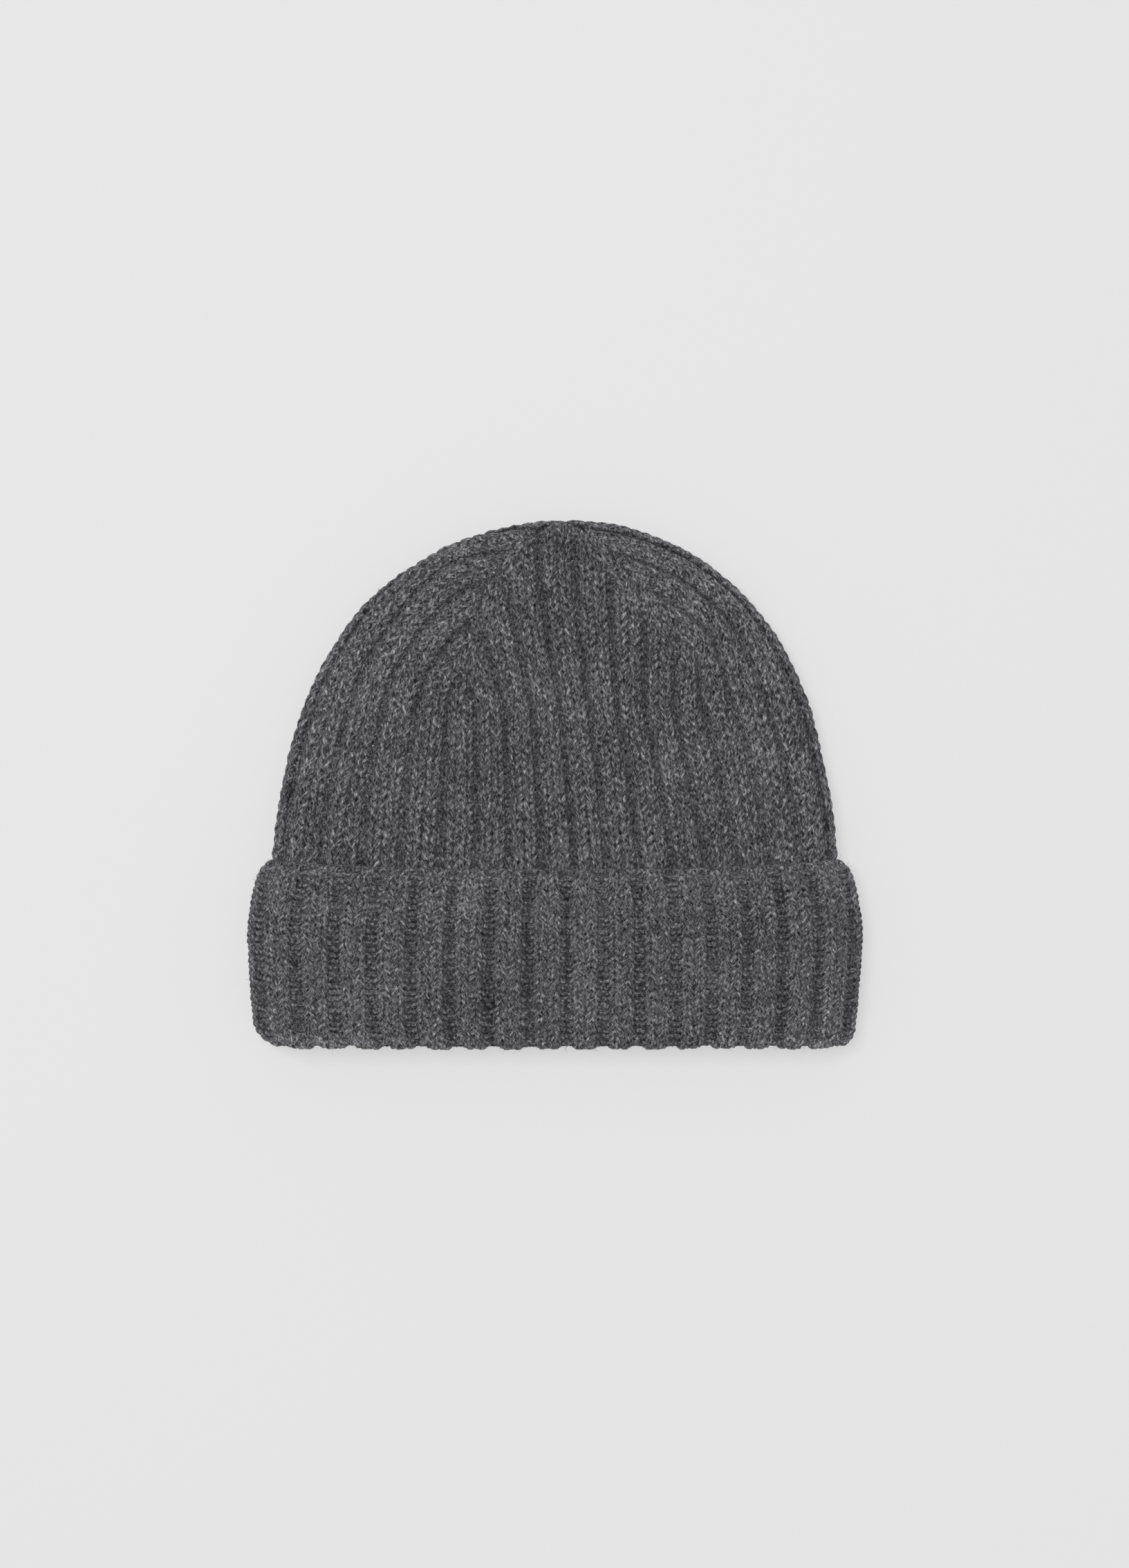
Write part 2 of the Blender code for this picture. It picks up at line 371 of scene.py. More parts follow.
FRONT = BodyHalf(1, left_wales=20, right_wales=16, axis=front_axis, gore_width=49.3, starts=(0.46, 0.58))
BACK = BodyHalf(-1, left_wales=12, right_wales=16, axis=back_axis, gore_width=54.0, starts=(0.5, 0.5))
CUFF_FRONT = CuffHalf(1)
CUFF_BACK = CuffHalf(-1)


# ---------------------------------------------------------------- cloth and yarn


def lengths_of(vectors):
    return np.linalg.norm(vectors, axis=-1, keepdims=True)


def unit(vectors):
    return vectors / np.maximum(lengths_of(vectors), 1e-9)


def on_cloth(point_at, outward, index, course):
    """Points on the middle of the cloth, its outward normals and the height of a row there."""
    step = 0.02
    along = point_at(index + step, course) - point_at(index - step, course)
    up = point_at(index, course + step) - point_at(index, course - step)
    pitch = lengths_of(up)[..., 0] / (2 * step)
    return point_at(index, course), unit(outward * np.cross(along, up)), pitch


def rib_wave(index):
    """1 in the middle of a knit rib, -1 in the middle of a purl groove: two wales of each."""
    return np.cos(math.pi / 2 * index)


def rib_height(index):
    """Height of the rib's face over the middle of the cloth."""
    return RIB_DEPTH * np.sin(math.pi / 2 * np.clip(1.3 * rib_wave(index), -1, 1))


def squeezed(index, amount, first, last):
    """Wale positions with wide knit wales and narrow purl ones, left even at ends other than wale 0."""
    fade = (1 - ease(index - last + 1)) * (1 - ease(first + 1 - index) * (first != 0))
    return index + amount * fade * np.sin(math.pi / 2 * index)


def run_of_loops(half, course, style, run):
    """One run of a course: places on the cloth, normals, heights over it, painted shade levels and row
    heights.
    """
    point_at, outward, first, last = run
    ends = min(first, last), max(first, last)
    count = ends[1] - ends[0]
    turn = np.arange(count * style.samples) / style.samples
    cell = np.floor(turn)
    local = turn - cell
    jitter = rng.normal(0, 1, (4, count + 1))[:, cell.astype(int)]
    wide, tall, shifted, deep = LOOP_UNEVENNESS
    bulge = style.bulge * (1 + wide * jitter[0])
    index = turn + bulge * np.sin(4 * math.pi * local)
    index = np.clip(first + index if last > first else first - index, *ends)
    lift = -0.5 * LOOP_ROWS * (1 + tall * jitter[1]) * np.cos(2 * math.pi * local)
    row = course + style.upward * lift + shifted * jitter[2]

    wave = rib_wave(index)
    share = half.rib_share(index, ends[1], course)
    facing = np.tanh(2.6 * wave)
    standing = LOOP_DEPTH * np.where(facing < 0, style.purl * facing, facing)
    loop = deep * jitter[3] - standing * np.cos(4 * math.pi * local)
    ridge = -np.clip(1.3 * wave + 0.3, 0, 1) * np.cos(2 * math.pi * index)
    height = rib_height(index) * share * style.relief(course) + loop + 0.14 * ridge

    spot = squeezed(index, style.squeeze(course), *ends)
    spot = spot + 0.07 * smooth_noise(index * 3.1, row * 2.6, 21, 7)
    here, normal, pitch = on_cloth(point_at, outward, spot, row)
    # Painted shade in the level: grooves between the ribs darker and rib faces lighter, more strongly in
    # some patches, loops darker where they dip into the cloth, and a fine light and dark stripe across the
    # knit wales. tone sets the level about which this painted shade sits.
    shading = style.shading * (1 + style.uneven * smooth_noise(here[:, 0], here[:, 1], 449, 100))
    level = style.tone + shading * RIB_DEPTH * wave * share + 1.6 * loop + 0.5 * ridge
    return here, normal, height, level, pitch


def course_path(half, course, style):
    """One course's yarn: centre line, cloth normals, painted shade levels and row heights."""
    made = [run_of_loops(half, course, style, run) for run in half.runs(course)]
    here, normal, height, level, pitch = (np.concatenate(rows) for rows in zip(*made))
    uneven = 0.25 * smooth_noise(here[:, 0], here[:, 1], 5, 30)
    return here + normal * (height + uneven)[:, None], normal, level, pitch


def tube(path, normal, sides, side_radius, flat_radius):
    """Rings of points round a path, wider along the cloth than across it."""
    tangent = unit(np.gradient(path, axis=0))
    across = unit(np.cross(tangent, normal))
    up = np.cross(across, tangent)
    side_radius = np.broadcast_to(side_radius, len(path))[:, None]
    flat_radius = np.broadcast_to(flat_radius, len(path))[:, None]
    turn = 2 * math.pi * np.arange(sides) / sides
    offset = across[:, None] * (side_radius * np.cos(turn))[..., None]
    offset = offset + up[:, None] * (flat_radius * np.sin(turn))[..., None]
    return path[:, None] + offset


def tube_faces(count, sides, start):
    """Quads of a tube's wall and its two end caps, for points numbered ring by ring from start."""
    base = start + np.arange(count - 1)[:, None] * sides
    step = np.arange(sides)
    ahead = (step + 1) % sides
    wall = np.stack([base + step, base + sides + step, base + sides + ahead, base + ahead], -1)
    caps = [start + step, start + (count - 1) * sides + step[::-1]]
    return wall.reshape(-1, 4), caps


def mesh_piece(name, points, quads, caps=(), attributes=None):
    """An object from arrays: points in millimetres, quads as rows of four, caps as rows of any length."""
    mesh = bpy.data.meshes.new(name)
    loops = np.concatenate([quads.ravel()] + [np.ravel(cap) for cap in caps]).astype(np.int32)
    totals = np.concatenate([np.full(len(quads), 4)] + [[len(cap)] for cap in caps]).astype(np.int32)
    starts = np.concatenate([[0], np.cumsum(totals)[:-1]]).astype(np.int32)
    mesh.vertices.add(len(points))
    mesh.vertices.foreach_set("co", (points * MILLIMETRE).astype(np.float32).ravel())
    mesh.loops.add(len(loops))
    mesh.loops.foreach_set("vertex_index", loops)
    mesh.polygons.add(len(totals))
    mesh.polygons.foreach_set("loop_start", starts)
    mesh.polygons.foreach_set("loop_total", totals)
    for label, values in (attributes or {}).items():
        vector = values.ndim == 2
        layer = mesh.attributes.new(label, "FLOAT_VECTOR" if vector else "FLOAT", "POINT")
        layer.data.foreach_set("vector" if vector else "value", values.astype(np.float32).ravel())
    mesh.update(calc_edges=True)
    mesh.validate()
    mesh.shade_smooth()
    piece = bpy.data.objects.new(name, mesh)
    bpy.context.scene.collection.objects.link(piece)
    return piece


def yarn_piece(name, strands):
    """One piece from strands of (path, normals, painted shade level, sides, side radius, flat radius)."""
    points, quads, caps, yarn, level = [], [], [], [], []
    start = 0
    for path, normal, centre_level, sides, side_radius, flat_radius in strands:
        ring = tube(path, normal, sides, side_radius, flat_radius)
        wall, ends = tube_faces(len(path), sides, start)
        start += len(path) * sides
        length = np.linalg.norm(np.diff(path, axis=0), axis=1)
        along = np.concatenate([[0], np.cumsum(length)]) + rng.uniform(0, 900)
        around = np.arange(sides) / sides
        out = np.sum((ring - path[:, None]) * normal[:, None], -1)
        points.append(ring.reshape(-1, 3))
        quads.append(wall)
        caps += ends
        yarn.append(np.stack(np.broadcast_arrays(along[:, None], around, 0.0), -1).reshape(-1, 3))
        # Painted shade: each yarn is made lighter on the side that faces out of the cloth and darker on
        # its flanks and underside.
        level.append((centre_level[:, None] + 2.1 * out).ravel())
    attributes = {"yarn": np.concatenate(yarn), "level": np.concatenate(level)}
    return mesh_piece(name, np.concatenate(points), np.concatenate(quads), caps, attributes)


def knit_piece(name, half, courses, style):
    """One piece of knit: a length of yarn for each course in the range."""
    strands = []
    for course in courses:
        path, normal, level, pitch = course_path(half, course, style)
        swell = 1 + 0.06 * smooth_noise(path[:, 0], path[:, 1], 11 + int(course) % 7, 9)
        swell = swell * style.thickness * np.clip(pitch, LOWEST_ROW, TALLEST_ROW)
        strands.append((path, normal, level, style.sides, YARN_SIDE * swell, YARN_FLAT * swell))
    return yarn_piece(name, strands)


def core_row(half, course, squeeze, relief, shading):
    """A half's row of the matted middle: places on the ribbed cloth, normals and painted shade levels."""
    places, normals, levels = [], [], []
    for (point_at, outward, first, last), lowest in zip(half.runs(course, whole=False), half.runs(0)):
        samples = 2 * max(lowest[2:])
        index = np.linspace(first, last, samples + 1)[:-1]
        ends = min(first, last), max(first, last)
        spot = squeezed(index, squeeze(course), *ends)
        place, out, _ = on_cloth(point_at, outward, spot, np.full(samples, float(course)))
        rib = rib_height(index) * half.rib_share(index, ends[1], course)
        places.append(place + out * (rib * relief(course))[:, None])
        normals.append(out)
        # Painted shade: the core's colour is darkened, most of all in the grooves between the ribs.
        levels.append(shading * rib - 0.5)
    order = 1 if half.facing > 0 else -1
    return [np.concatenate(rows)[::order] for rows in (places, normals, levels)]


def core_piece(name, halves, courses, squeeze, relief, shading):
    """The matted middle of the cloth behind the loops, one closed thin shell right round the hat, its
    colour darkened by painted shade.
    """
    thickness = 0.4
    rows = []
    for course in courses:
        both = [core_row(half, course, squeeze, relief, shading) for half in halves]
        rows.append([np.concatenate(part) for part in zip(*both)])
    here, normal, level = (np.stack(part) for part in zip(*rows))
    grid = np.arange(here.shape[0] * here.shape[1]).reshape(here.shape[:2])
    ahead = np.roll(grid, -1, axis=1)
    inner = grid.size
    skin = np.stack([grid[:-1], ahead[:-1], ahead[1:], grid[1:]], -1).reshape(-1, 4)
    foot = np.stack([grid[0], grid[0] + inner, ahead[0] + inner, ahead[0]], -1)
    top = np.stack([ahead[-1], ahead[-1] + inner, grid[-1] + inner, grid[-1]], -1)
    quads = np.concatenate([skin, skin[:, ::-1] + inner, foot, top])
    points = np.concatenate([here + normal * thickness, here - normal * thickness]).reshape(-1, 3)
    fibre = np.stack([points[:, 1], points[:, 0] / 6, 0 * points[:, 0]], -1)
    attributes = {"yarn": fibre, "level": np.tile(level.ravel(), 2)}
    return mesh_piece(name, points, quads, attributes=attributes)


def surface_of(piece_names):
    """Every vertex of these pieces, in millimetres, and its normal."""
    roots, normals = [], []
    for piece_name in piece_names:
        mesh = bpy.data.objects[piece_name].data
        place = np.empty(len(mesh.vertices) * 3, np.float32)
        out = np.empty(len(mesh.vertices) * 3, np.float32)
        mesh.vertices.foreach_get("co", place)
        mesh.vertex_normals.foreach_get("vector", out)
        roots.append(place.reshape(-1, 3) / MILLIMETRE)
        normals.append(out.reshape(-1, 3))
    return np.concatenate(roots), np.concatenate(normals)


def fibre_paths(root, out, lengths, rings):
    """Bent fibres from these roots, with a few rings along each, kept above what the hat lies on."""
    count = len(root)
    length = rng.uniform(*lengths, (count, 1)) * rng.uniform(0.5, 1, (count, 1))
    lean = rng.normal(0, 1, (count, 3))
    bend = rng.normal(0, 1, (count, 3))
    start = unit(out * rng.uniform(0.2, 0.9, (count, 1)) + 0.75 * lean)
    paths = []
    for share in np.linspace(0, 1, rings):
        paths.append(root - 0.3 * out + length * (start * share + 0.42 * bend * share**2))
    path = np.stack(paths, 1)
    path[:, :, 2] = np.maximum(path[:, :, 2], 0.1)
    return path


def fuzz_piece(name, piece_names, count, lengths, above=-math.inf):
    """Loose wool fibres that stand out of the yarn, each a closed thread a tenth of a millimetre thick."""
    roots, normals = surface_of(piece_names)
    chosen = rng.choice(np.flatnonzero(roots[:, 1] > above), count, replace=False)
    rings, sides = 3, 3
    path = fibre_paths(roots[chosen], normals[chosen], lengths, rings)
    tangent = unit(np.gradient(path, axis=1))
    across = unit(np.cross(tangent, np.array([0.31, 0.52, 0.79])))
    up = np.cross(across, tangent)
    radius = rng.uniform(0.032, 0.055, (count, 1, 1)) * np.linspace(1, 0.55, rings)[None, :, None]
    turn = 2 * math.pi * np.arange(sides) / sides
    points = [path + radius * (across * math.cos(angle) + up * math.sin(angle)) for angle in turn]
    points = np.stack(points, 2).reshape(-1, 3)
    first = np.arange(count)[:, None] * rings * sides
    wall, ends = tube_faces(rings, sides, 0)
    quads = (first[:, :, None] + wall[None]).reshape(-1, 4)
    caps = [row for end in ends for row in first + end[None]]
    return mesh_piece(name, points, quads, caps)


# ---------------------------------------------------------------- materials


class Nodes:
    """A short way to write a material's node tree."""

    def __init__(self, name):
        self.material = bpy.data.materials.new(name)
        self.material.use_nodes = True
        self.tree = self.material.node_tree
        self.shader = self.tree.nodes["Principled BSDF"]

    def add(self, kind, inputs=None, **settings):
        node = self.tree.nodes.new(kind)
        for key, value in settings.items():
            setattr(node, key, value)
        for key, value in (inputs or {}).items():
            self.put(node.inputs[key], value)
        return node

    def put(self, socket, value):
        if isinstance(value, bpy.types.NodeSocket):
            self.tree.links.new(value, socket)
        else:
            socket.default_value = value

    def surface(self, inputs):
        """Set or link the surface shader's inputs."""
        for key, value in inputs.items():
            self.put(self.shader.inputs[key], value)

    def bump(self, height, strength, distance):
        inputs = {"Height": height, "Strength": strength, "Distance": distance}
        return self.add("ShaderNodeBump", inputs).outputs["Normal"]

    def maths(self, operation, first, second=0.0):
        return self.add("ShaderNodeMath", {0: first, 1: second}, operation=operation).outputs[0]

    def noise(self, place, scale, detail, roughness=0.55):
        inputs = {"Vector": place, "Scale": scale, "Detail": detail, "Roughness": roughness}
        return self.add("ShaderNodeTexNoise", inputs).outputs["Fac"]

    def weighted(self, parts):
        """0.5 plus each (noise, weight) about its middle."""
        total = 0.5
        for value, weight in parts:
            offset = self.maths("SUBTRACT", value, 0.5)
            total = self.maths("ADD", total, self.maths("MULTIPLY", offset, weight))
        return total

    def ramp(self, value, stops):
        node = self.add("ShaderNodeValToRGB", {"Fac": value})
        elements = node.color_ramp.elements
        while len(elements) < len(stops):
            elements.new(0.5)
        for element, (position, colour) in zip(elements, stops):
            element.position = position
            element.color = (*colour, 1)
        return node.outputs["Color"]

    def times(self, colour, factor):
        node = self.add("ShaderNodeMix", data_type="RGBA", blend_type="MULTIPLY")
        node.inputs["Factor"].default_value = 1.0
        self.tree.links.new(colour, node.inputs[6])
        self.tree.links.new(factor, node.inputs[7])
        return node.outputs[2]


def yarn_place(graph):
    """Distance along the yarn, and the sine and cosine of a fibre's place round it, twisted as it goes."""
    yarn = graph.add("ShaderNodeAttribute", attribute_name="yarn").outputs["Vector"]
    parts = graph.add("ShaderNodeSeparateXYZ", {0: yarn})
    along, around = parts.outputs[0], parts.outputs[1]
    twisted = graph.maths("ADD", around, graph.maths("MULTIPLY", along, 0.035))
    angle = graph.maths("MULTIPLY", twisted, 2 * math.pi)
    return along, graph.maths("SINE", angle), graph.maths("COSINE", angle)


def fibres(graph, yarn, length_scale, width_scale, detail):
    """Fibres that follow the yarn: noise drawn out along it and wound round it."""
    along, sine, cosine = yarn
    vector = {
        0: graph.maths("MULTIPLY", along, length_scale),
        1: graph.maths("MULTIPLY", cosine, width_scale),
        2: graph.maths("MULTIPLY", sine, width_scale),
    }
    return graph.noise(graph.add("ShaderNodeCombineXYZ", vector).outputs[0], 1.0, detail, 0.5)


def hairs(graph, place, lean):
    """Surface hair brushed one way over all the yarns: streaks 2 mm long and 0.7 mm wide."""
    width, length = 1 / 1500, 1 / 480
    inputs = {"Vector": place, "Rotation": (0, 0, lean), "Scale": (width, length, width)}
    brushed = graph.add("ShaderNodeMapping", inputs, vector_type="TEXTURE").outputs[0]
    return graph.noise(brushed, 1.0, 1.5)


def painted_level_shade(graph):
    """Painted shade in the colour: lighter where yarn stands out of the cloth and darker in its grooves,
    where less light comes.
    """
    level = graph.add("ShaderNodeAttribute", attribute_name="level").outputs["Fac"]
    inputs = {"Value": level, "From Min": -1.9, "From Max": 2.5, "To Min": 0.22, "To Max": 1.32}
    return graph.add("ShaderNodeMapRange", inputs, interpolation_type="SMOOTHSTEP").outputs["Result"]


def wool(name, shades, tint):
    """Fuzzy melange wool: light and dark fibres along the twisted yarn, and a sheen of loose fibre; its
    colour is multiplied by painted shade.
    """
    graph = Nodes(name)
    place = graph.add("ShaderNodeTexCoord").outputs["Object"]
    yarn = yarn_place(graph)
    fine, coarse = fibres(graph, yarn, 0.6, 1.9, 1.5), fibres(graph, yarn, 0.3, 0.6, 1.0)
    left, right = hairs(graph, place, 0.4), hairs(graph, place, -0.4)
    patches = graph.noise(place, 45.0, 2.0)
    blend = graph.weighted([(fine, 0.85), (coarse, 0.25), (left, 0.62), (right, 0.62), (patches, 0.16)])
    colour = graph.ramp(blend, [(at, tuple(tone * part for part in tint)) for at, tone in shades])
    graph.surface({
        # The base colour is multiplied by painted shade from the level attribute.
        "Base Color": graph.times(colour, painted_level_shade(graph)),
        "Normal": graph.bump(fine, 0.5, 0.0002),
        "Roughness": 0.93,
        "Specular IOR Level": 0.15,
        "Sheen Weight": 0.25,
        "Sheen Roughness": 0.55,
        "Sheen Tint": (0.72, 0.72, 0.76, 1),
    })
    return graph.material


def felted(name, dark, light, scale):
    """Matted fibre with no direction, for loose fibres and hidden threads."""
    graph = Nodes(name)
    place = graph.add("ShaderNodeTexCoord").outputs["Object"]
    noise = graph.noise(place, scale, 3.0, 0.6)
    colour = graph.ramp(noise, [(0.3, dark), (0.7, light)])
    graph.surface({"Base Color": colour, "Normal": graph.bump(noise, 0.5, 0.0004), "Roughness": 1.0})
    return graph.material


def satin_weave(name):
    """A blank woven label: fine ribs of weft with a soft gloss."""
    graph = Nodes(name)
    place = graph.add("ShaderNodeTexCoord").outputs["Object"]
    inputs = {"Vector": place, "Scale": 1100.0, "Distortion": 0.4, "Detail": 1.0}
    weft = graph.add("ShaderNodeTexWave", inputs, bands_direction="Y").outputs["Fac"]
    stain = graph.noise(place, 160.0, 2.0)
    blend = graph.weighted([(weft, 0.5), (stain, 0.5)])
    colour = graph.ramp(blend, [(0.2, (0.42, 0.42, 0.41)), (0.8, (0.68, 0.68, 0.66))])
    graph.surface({
        "Base Color": colour,
        "Normal": graph.bump(weft, 0.4, 0.0001),
        "Roughness": 0.5,
        "Sheen Weight": 0.2,
    })
    return graph.material


# ---------------------------------------------------------------- the hat


def put_on(piece, body, material):
    """Give a piece its material and the body that it rides on."""
    piece.data.materials.clear()
    piece.data.materials.append(material)
    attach(piece, body)
    return piece


def body_squeeze(course):
    """Purl grooves of the body are drawn together alike from the cuff to the apex."""
    return 0.5


def cuff_squeeze(course):
    """Purl grooves are wide at the fold and close up towards the cuff's edge."""
    edge = float(ease((course - CUFF_COURSES + 4) / 3))
    return (0.28 + 0.17 * min(max(course, 0) / CUFF_COURSES, 1)) * (1 - 0.7 * edge)


def cuff_relief(course):
    """The ribs are pulled flatter where they turn round the fold at the mouth."""
    return 1.05 - 0.25 * float(ease(1 - max(course - 1, 0) / 4))


def even(value):
    """A setting that is the same on every course."""
    return lambda course: value


def knit_styles():
    """The settings of the body's knit, of what is tucked inside the cuff and of the cuff's.

    squeeze and relief depend on the course: how far knit wales crowd out purl ones, and how much of the
    ribs' height shows. upward is the way the loops point, and bulge is how far their sides swing out.
    purl is the depth of the purl loops, and thickness is the yarn's. shading, uneven and tone set the
    shade
    painted into the colour: how strongly and how patchily the ribs are painted darker and lighter, and
    about which level.
    """
    body = dict(squeeze=body_squeeze, relief=even(BODY_RELIEF), upward=1, bulge=0.25, purl=0.4)
    body.update(thickness=1.06, shading=0.95, uneven=0.1, tone=-0.66)
    tucked = dict(body, relief=even(0.65))
    cuff = dict(squeeze=cuff_squeeze, relief=cuff_relief, upward=-1, bulge=0.28, purl=0.8)
    cuff.update(thickness=1.15, shading=1.85, uneven=0.4, tone=0.2)
    return body, tucked, cuff


def build_knit(melange):
    """All the knit in pieces of moderate size; returns the names of those on each body."""
    body, tucked, cuff = knit_styles()
    seen, unseen = dict(samples=12, sides=6), dict(samples=10, sides=5)
    plan = [
        ("hat_body", "body_lower_front", FRONT, (0, 14), body, seen),
        ("hat_body", "body_middle_front", FRONT, (14, 27), body, seen),
        ("hat_body", "crown_front", FRONT, (27, BODY_COURSES), body, seen),
        ("hat_body", "body_back", BACK, (0, 20), body, unseen),
        ("hat_body", "crown_back", BACK, (20, BODY_COURSES), body, unseen),
        ("hat_body", "tucked_front", FRONT, (-TUCKED_COURSES, 0), tucked, unseen),
        ("hat_body", "tucked_back", BACK, (-TUCKED_COURSES, 0), tucked, unseen),
        ("cuff", "cuff_fold_front", CUFF_FRONT, (-4, 8), cuff, seen),
        ("cuff", "cuff_lower_front", CUFF_FRONT, (8, 19), cuff, seen),
        ("cuff", "cuff_upper_front", CUFF_FRONT, (19, CUFF_COURSES), cuff, seen),
        ("cuff", "cuff_fold_back", CUFF_BACK, (-4, 12), cuff, unseen),
        ("cuff", "cuff_upper_back", CUFF_BACK, (12, CUFF_COURSES), cuff, unseen),
    ]
    names = {"hat_body": [], "cuff": []}
    for rides_on, name, half, span, knit, mesh in plan:
        courses = list(range(*span))
        if span[1] == BODY_COURSES:
            courses.append(BODY_COURSES - 0.5)
        piece = knit_piece(name + "_knit", half, courses, SimpleNamespace(**knit, **mesh))
        put_on(piece, rides_on, melange)
        names[rides_on].append(piece.name)
    return names


def build_cores(melange):
    """The closed cloth behind the loops, which stands in for the CAD solids."""
    courses = np.linspace(-TUCKED_COURSES, BODY_COURSES - 0.4, 66)
    # The last argument of each core_piece call is how strongly painted shade darkens that core's grooves.
    core = core_piece("body_core", (FRONT, BACK), courses, body_squeeze, even(BODY_RELIEF), 0.4)
    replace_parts(put_on(core, "hat_body", melange), "knit_body")
    courses = np.linspace(-4, CUFF_COURSES - 1.0, 34)
    core = core_piece("cuff_core", (CUFF_FRONT, CUFF_BACK), courses, cuff_squeeze, cuff_relief, 1.1)
    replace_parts(put_on(core, "cuff", melange), "turn_up_cuff")


def build_closing(melange):
    """The crown's last stitches drawn together: yarn wound into the small hole at the apex."""
    turn = np.linspace(0, 4.5 * math.pi, 90)
    spread = 1 - turn / (5.0 * math.pi)
    x = 4.2 + 4.6 * spread * np.cos(turn)
    y = CROWN_Y - 2.6 + 1.9 * np.linspace(0, 1, 90)
    z = CROWN_MIDDLE_Z + 3.6 * spread * np.sin(turn)
    path = np.stack([x, y, z], -1)
    normal = np.broadcast_to([0.0, 1.0, 0.0], path.shape)
    piece = yarn_piece("crown_gather", [(path, normal, np.zeros(90), 8, 0.95, 0.85)])
    put_on(piece, "hat_body", melange)


def build_seam(melange, node):
    """The linked seam: two plies that wind round each other along the CAD yarn."""
    low, high = node_box(node)
    cloth, seam_reach, twist = 3.0, 0.9, 3.4
    strands = []
    for ply in (0, math.pi):
        y = np.linspace(low[1], high[1], 420)
        turn = 2 * math.pi * y / twist + ply
        settled = ease((y - CUFF_TOP_Y) / SETTLE_LENGTH)
        inside = mix(CUFF_TOP_Z - BODY_TOP_Z, 0, settled) + cloth + seam_reach
        path = np.stack([0.42 * np.cos(turn), y, inside + 0.32 * np.sin(turn)], -1)
        normal = np.broadcast_to([0.0, 0.0, 1.0], path.shape)
        strands.append((path, normal, np.zeros(len(y)), 6, 0.36, 0.36))
    piece = yarn_piece("back_seam_chain", strands)
    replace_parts(put_on(piece, "hat_body", melange), node)


def build_label(weave):
    """The folded woven label: two thin plies that spread a little at their open edge."""
    low, high = node_box("care_label")
    ply, radius = 0.17, 0.32
    flat = high[0] - low[0] - radius - ply
    straight, fold = np.linspace(0, flat, 24)[:-1], 13
    away = np.concatenate([straight, np.full(fold, flat), straight[::-1]])
    half_turns = [np.full(len(straight), -1.0), np.linspace(-1, 1, fold), np.full(len(straight), 1.0)]
    bend = np.concatenate(half_turns) * math.pi / 2
    part = 1 - away / flat
    x = low[0] + away + radius * np.cos(bend)
    z = (low[2] + high[2]) / 2 + 0.1 + radius * np.sin(bend) * (1 + 0.5 * part)
    out_x, out_z = np.cos(bend), np.sin(bend)
    rows = []
    for y in np.linspace(low[1], high[1], 40):
        curl = 0.16 * np.sin((y - low[1]) / 5.3) * (away / flat) ** 2
        outer = np.stack([x + ply * out_x, np.full_like(x, y), z + curl + ply * out_z], -1)
        inner = np.stack([x - ply * out_x, np.full_like(x, y), z + curl - ply * out_z], -1)
        rows.append(np.concatenate([outer, inner[::-1]]))
    ring = len(rows[0])
    wall, ends = tube_faces(len(rows), ring, 0)
    piece = mesh_piece("care_label_fold", np.concatenate(rows), wall, ends)
    piece.data.shade_flat()
    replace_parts(put_on(piece, "hat_body", weave), "care_label")


def colour_threads(nodes):
    """The sewn-in threads keep their CAD shapes and get a plain dark wool."""
    dark, light = (0.03, 0.03, 0.032), (0.12, 0.12, 0.125)
    for node in nodes:
        thread = bpy.data.objects[node]
        thread.data.materials.clear()
        thread.data.materials.append(felted(node + "_wool", dark, light, 1800.0))


def build_loose_fibres(names):
    """Stray wool over the outside of the body and the cuff, longest along the cuff's edge."""
    loose = felted("loose_fibre", (0.06, 0.06, 0.063), (0.34, 0.34, 0.36), 260.0)
    outside = [name for name in names["hat_body"] if "tucked" not in name]
    short, stray = (0.8, 2.4), (1.2, 3.2)
    body_fuzz = fuzz_piece("body_loose_fibres", outside, 12500, short)
    put_on(body_fuzz, "hat_body", loose)
    cuff_fuzz = fuzz_piece("cuff_loose_fibres", names["cuff"], 11500, short)
    put_on(cuff_fuzz, "cuff", loose)
    edge_fuzz = fuzz_piece("cuff_edge_fibres", ["cuff_upper_front_knit"], 3500, stray, CUFF_TOP_Y - 6.0)
    put_on(edge_fuzz, "cuff", loose)


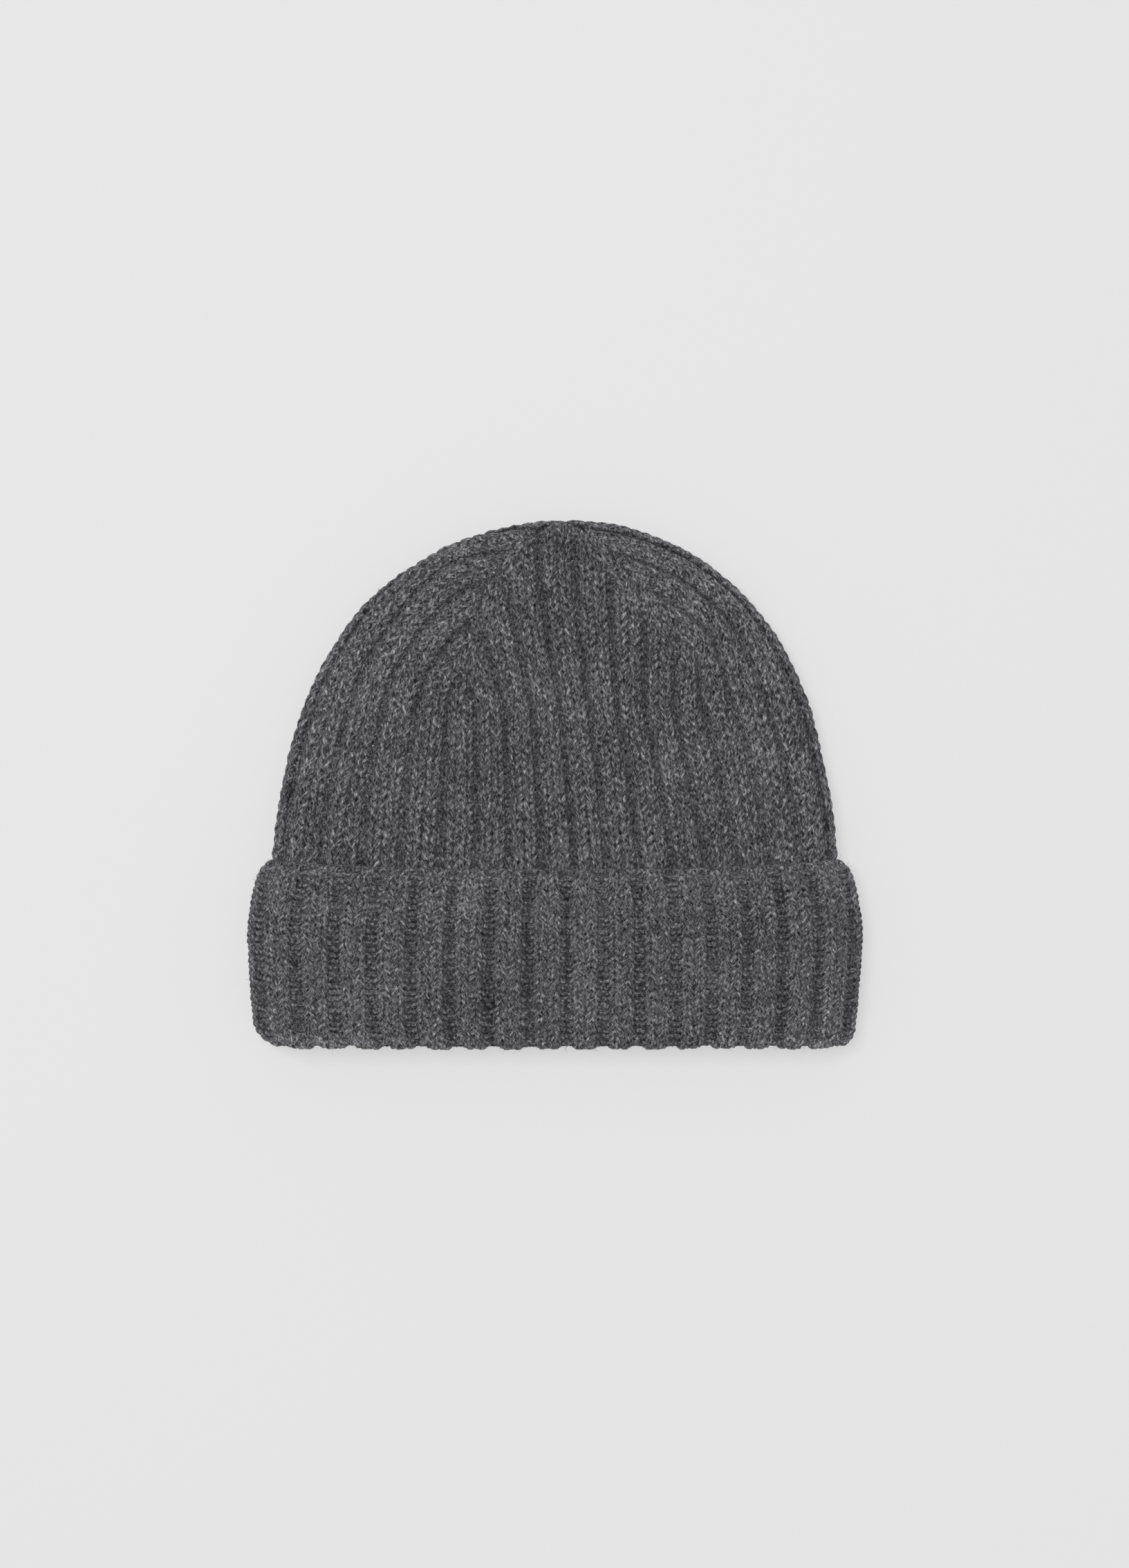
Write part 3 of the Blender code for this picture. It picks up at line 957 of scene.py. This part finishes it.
def build_hat():
    shades = [(0.26, 0.006), (0.43, 0.046), (0.55, 0.100), (0.66, 0.170), (0.82, 0.32)]
    tint = (1.0, 0.984, 1.06)
    melange = wool("melange_wool", shades, tint)
    names = build_knit(melange)
    build_cores(melange)
    build_closing(melange)
    build_seam(melange, "back_seam_yarn")
    build_label(satin_weave("blank_satin"))
    colour_threads(["cuff_seam_yarn", "crown_closing_yarn", "label_stitch_thread"])
    build_loose_fibres(names)


# ---------------------------------------------------------------- stage, light and camera


def stage():
    """A pale, softly self-lit floor, so that shadows stay light."""
    bpy.ops.mesh.primitive_plane_add(size=40, location=(0, 0, -0.0002))
    floor = bpy.context.object
    floor.name = "floor"
    graph = Nodes("pale_backdrop")
    graph.surface({
        "Base Color": (0.27, 0.27, 0.27, 1),
        "Roughness": 1.0,
        "Specular IOR Level": 0.0,
        "Emission Color": (1, 1, 1, 1),
        "Emission Strength": 0.52,
    })
    floor.data.materials.append(graph.material)


def light():
    """A bright even room and one large soft light overhead, a little to the upper left."""
    world = bpy.data.worlds.new("soft_studio")
    bpy.context.scene.world = world
    world.use_nodes = True
    room = world.node_tree.nodes["Background"]
    room.inputs["Color"].default_value = (1, 1, 1, 1)
    room.inputs["Strength"].default_value = 0.45
    lamp = bpy.data.lights.new("key", "AREA")
    lamp.shape = "DISK"
    lamp.size = 1.3
    lamp.energy = 50.5
    key = bpy.data.objects.new("key", lamp)
    key.location = (-0.5, 0.42, 2.85)
    key.rotation_euler = (-key.location).to_track_quat("-Z", "Y").to_euler()
    bpy.context.scene.collection.objects.link(key)


def camera():
    """Straight down on the hat, as far away as an 85 mm lens needs to frame it."""
    distance = 1.392
    data = bpy.data.cameras.new("camera")
    data.lens = 85
    data.sensor_width = 36
    view = bpy.data.objects.new("camera", data)
    view.location = (0.0036, 0.0005, distance + CUFF_MIDDLE_Z * MILLIMETRE)
    bpy.context.scene.collection.objects.link(view)
    bpy.context.scene.camera = view
    bpy.context.scene.view_settings.view_transform = "Standard"


stage()
light()
camera()
build_hat()
